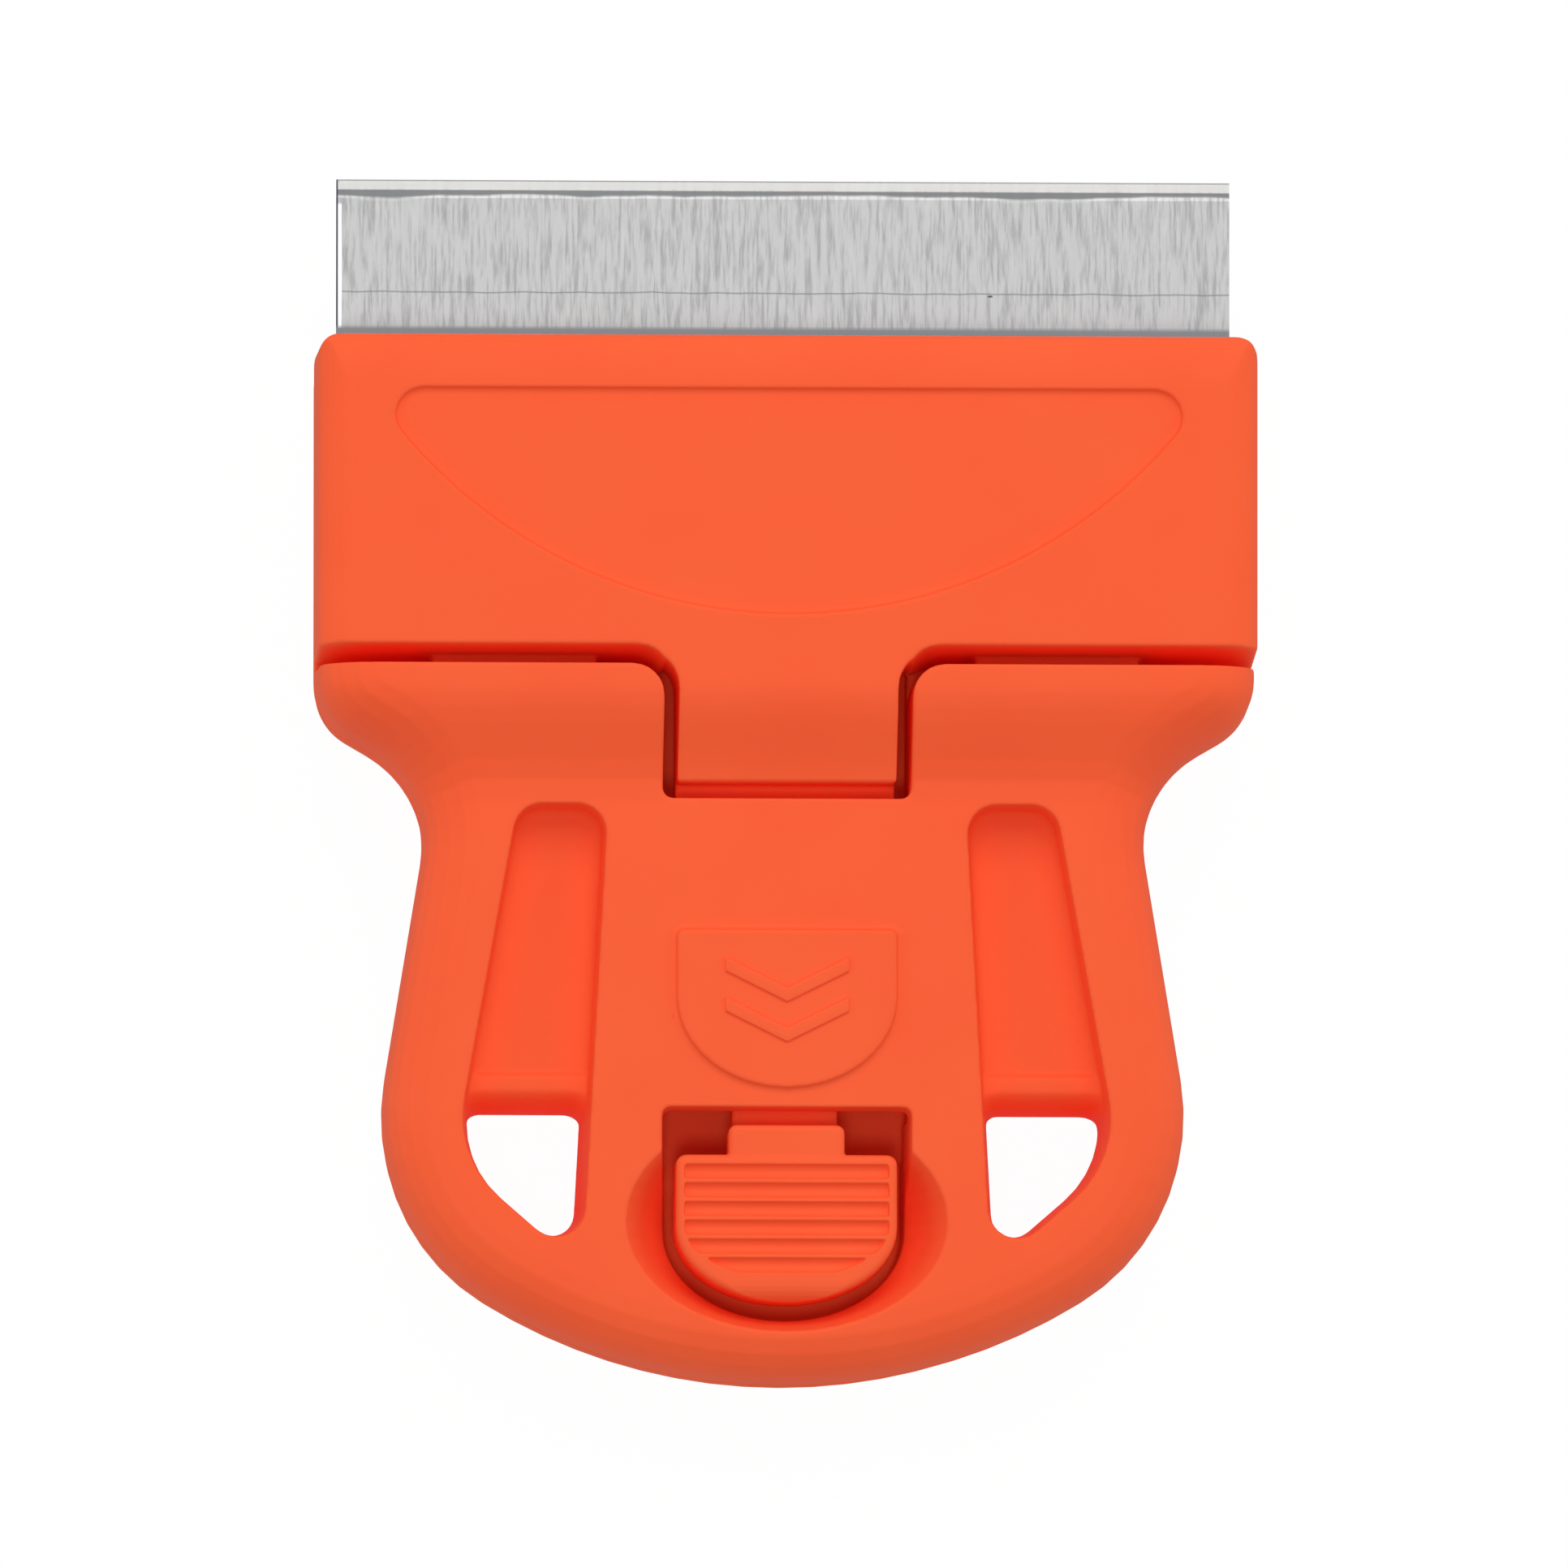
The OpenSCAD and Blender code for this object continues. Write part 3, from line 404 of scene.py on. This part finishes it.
# Sign on the pad: two plain chevrons that point to the button
SIGN_HALF = 2.7 * MM
SIGN_DROP = 1.35 * MM
SIGN_STROKE = 0.62 * MM
SIGN_STEP = 1.75 * MM
SIGN_TOP = -7.55 * MM
SIGN_RISE = 0.14 * MM
SIGN_ROOT = 0.2 * MM
SIGN_BEVEL = 0.06 * MM
PAD_Z = 10.3 * MM


def make_sign():
    form = bmesh.new()
    for index in range(2):
        top = SIGN_TOP - index * SIGN_STEP
        outline = [
            (-SIGN_HALF, top),
            (-SIGN_HALF, top - SIGN_STROKE),
            (0, top - SIGN_STROKE - SIGN_DROP),
            (SIGN_HALF, top - SIGN_STROKE),
            (SIGN_HALF, top),
            (0, top - SIGN_DROP),
        ]
        low = [form.verts.new((x, y, PAD_Z - SIGN_ROOT)) for x, y in outline]
        high = [form.verts.new((x, y, PAD_Z + SIGN_RISE)) for x, y in outline]
        count = len(outline)
        for k in range(count):
            n = (k + 1) % count
            form.faces.new((low[k], low[n], high[n], high[k]))
        for ring in ((0, 1, 2, 5), (5, 2, 3, 4)):
            form.faces.new([high[k] for k in ring])
            form.faces.new([low[k] for k in reversed(ring)])
    sign = new_piece("pad_sign", mesh_from(form, "pad_sign"))
    bevel = sign.modifiers.new("bevel", "BEVEL")
    bevel.width = SIGN_BEVEL
    bevel.segments = 3
    bevel.limit_method = "ANGLE"
    settle(sign)
    sign.data.shade_smooth()
    return sign


make_camera()
plastic = {slot: plastic_material(slot) for slot in ("shell_plastic", "jaw_plastic")}
for node, body, slot, voxel in (
    ("rear_shell", "handle", "shell_plastic", 0.12 * MM),
    ("front_shell", "handle", "shell_plastic", 0.09 * MM),
    ("clamp_jaw", "clamp", "jaw_plastic", 0.09 * MM),
    ("press_button", "clamp", "jaw_plastic", 0.04 * MM),
):
    finish_piece(moulded(node, voxel), plastic[slot], node, body)
sign = make_sign()
sign.data.materials.append(plastic["shell_plastic"])
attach(sign, "handle")

spring = welded_copy("return_spring", "return_spring_wound")
spring.data.shade_smooth()
wire = steel_material("spring_steel", srgb(170, 171, 174), roughness=0.25)
finish_piece(spring, wire, "return_spring", "handle")
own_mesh(spring)

for node, material in (
    ("hinge_pin", steel_material("pin_steel", srgb(185, 186, 188), roughness=0.3)),
    ("blade_spine", steel_material("spine_steel", srgb(178, 179, 181), roughness=0.32)),
    ("razor_blade", blade_material("blade_steel")),
):
    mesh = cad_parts[node].data
    mesh.materials.clear()
    mesh.materials.append(material)


# Stage: a white table that also lights the object from below and leaves a faint shadow
FLOOR_SIZE = 4.0
FLOOR_GAP = 0.05 * MM
FLOOR_GLOW = 0.975
FLOOR_LIGHT = 0.85
FLOOR_MIRRORED = 0.2
FLOOR_SHADE = 0.03


def make_floor():
    form = bmesh.new()
    bmesh.ops.create_grid(form, x_segments=1, y_segments=1, size=FLOOR_SIZE / 2)
    floor = new_piece("floor", mesh_from(form, "floor"))
    floor.location.z = cad_box[0][2] - FLOOR_GAP
    material, tree = new_material("floor")
    rays = add(tree, "ShaderNodeLightPath").outputs
    lighting = ramp(tree, rays["Is Glossy Ray"], 0, 1, FLOOR_LIGHT, FLOOR_MIRRORED)
    seen = math_node(tree, "MULTIPLY", rays["Is Camera Ray"], FLOOR_GLOW)
    shade = (FLOOR_SHADE, FLOOR_SHADE, FLOOR_SHADE, 1)
    diffuse = add(tree, "ShaderNodeBsdfDiffuse", sockets={"Color": shade})
    strength = math_node(tree, "MAXIMUM", lighting, seen)
    glow = add(tree, "ShaderNodeEmission", sockets={"Color": (1, 1, 1, 1), "Strength": strength})
    both = add(tree, "ShaderNodeAddShader")
    tree.links.new(diffuse.outputs[0], both.inputs[0])
    tree.links.new(glow.outputs[0], both.inputs[1])
    output(tree, both.outputs[0])
    floor.data.materials.append(material)


AMBIENT = 0.47
MIRRORED = 0.9


def make_world():
    world = bpy.data.worlds.new("studio")
    world.use_nodes = True
    tree = world.node_tree
    tree.nodes.clear()
    rays = add(tree, "ShaderNodeLightPath").outputs
    mirrored = ramp(tree, rays["Is Glossy Ray"], 0, 1, AMBIENT, MIRRORED)
    strength = math_node(tree, "MAXIMUM", mirrored, rays["Is Camera Ray"])
    shade = add(tree, "ShaderNodeBackground", sockets={"Color": (1, 1, 1, 1), "Strength": strength})
    add(tree, "ShaderNodeOutputWorld", sockets={"Surface": shade.outputs[0]})
    scene.world = world


def make_light(name, direction, distance, size, level):
    """A square soft light; level is the share of full white that it gives a face turned to it."""
    data = bpy.data.lights.new(name, "AREA")
    data.shape = "SQUARE"
    data.size = size
    data.energy = math.pi ** 2 * level * distance ** 2
    light = bpy.data.objects.new(name, data)
    way = Vector(direction).normalized()
    light.location = way * distance
    light.rotation_euler = way.to_track_quat("Z", "Y").to_euler()
    scene.collection.objects.link(light)


make_floor()
make_world()
make_light("key", direction=(0.05, 0.72, 1), distance=0.8, size=0.5, level=0.36)
make_light("front", direction=(-0.05, -0.2, 1), distance=1.2, size=0.15, level=0.125)
for side in (-1, 1):
    make_light("side", direction=(side, 0.2, 0.5), distance=0.8, size=0.5, level=0.12)
# Light that bounces on inside the slots keeps them a deep red
BOUNCES = 48
DIFFUSE_BOUNCES = 40
scene.cycles.max_bounces = BOUNCES
scene.cycles.diffuse_bounces = DIFFUSE_BOUNCES
